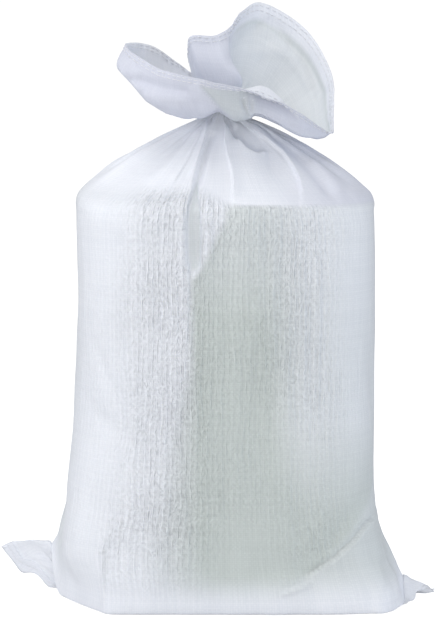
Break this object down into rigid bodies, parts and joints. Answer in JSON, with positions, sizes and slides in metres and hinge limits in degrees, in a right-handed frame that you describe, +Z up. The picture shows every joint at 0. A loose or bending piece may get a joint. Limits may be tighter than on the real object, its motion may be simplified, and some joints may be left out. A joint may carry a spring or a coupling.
{
  "type": "woven polypropylene sack",
  "caption": "Filled woven polypropylene sack for loose building material, standing on its sewn bottom, gathered and tied at the neck with a flared mouth.",
  "frame": {"origin": "on the floor under the middle of the whole sack, ears and thread tails included", "axes": "+Z up from the base to the mouth, +X along the bottom seam to the right ear, -Y out of the broad front"},
  "size_m": [0.5842, 0.28, 0.7702],
  "materials": {
    "woven_cloth": "satin",
    "contents": "matte",
    "neck_tie": "matte",
    "bottom_seam_thread": "matte",
    "mouth_hem_thread": "matte"
  },
  "bodies": {
    "root": {"woven_cloth": "woven_cloth", "contents": "contents", "neck_tie": "neck_tie", "bottom_seam_thread": "bottom_seam_thread", "mouth_hem_thread": "mouth_hem_thread"}
  },
  "joints": []
}
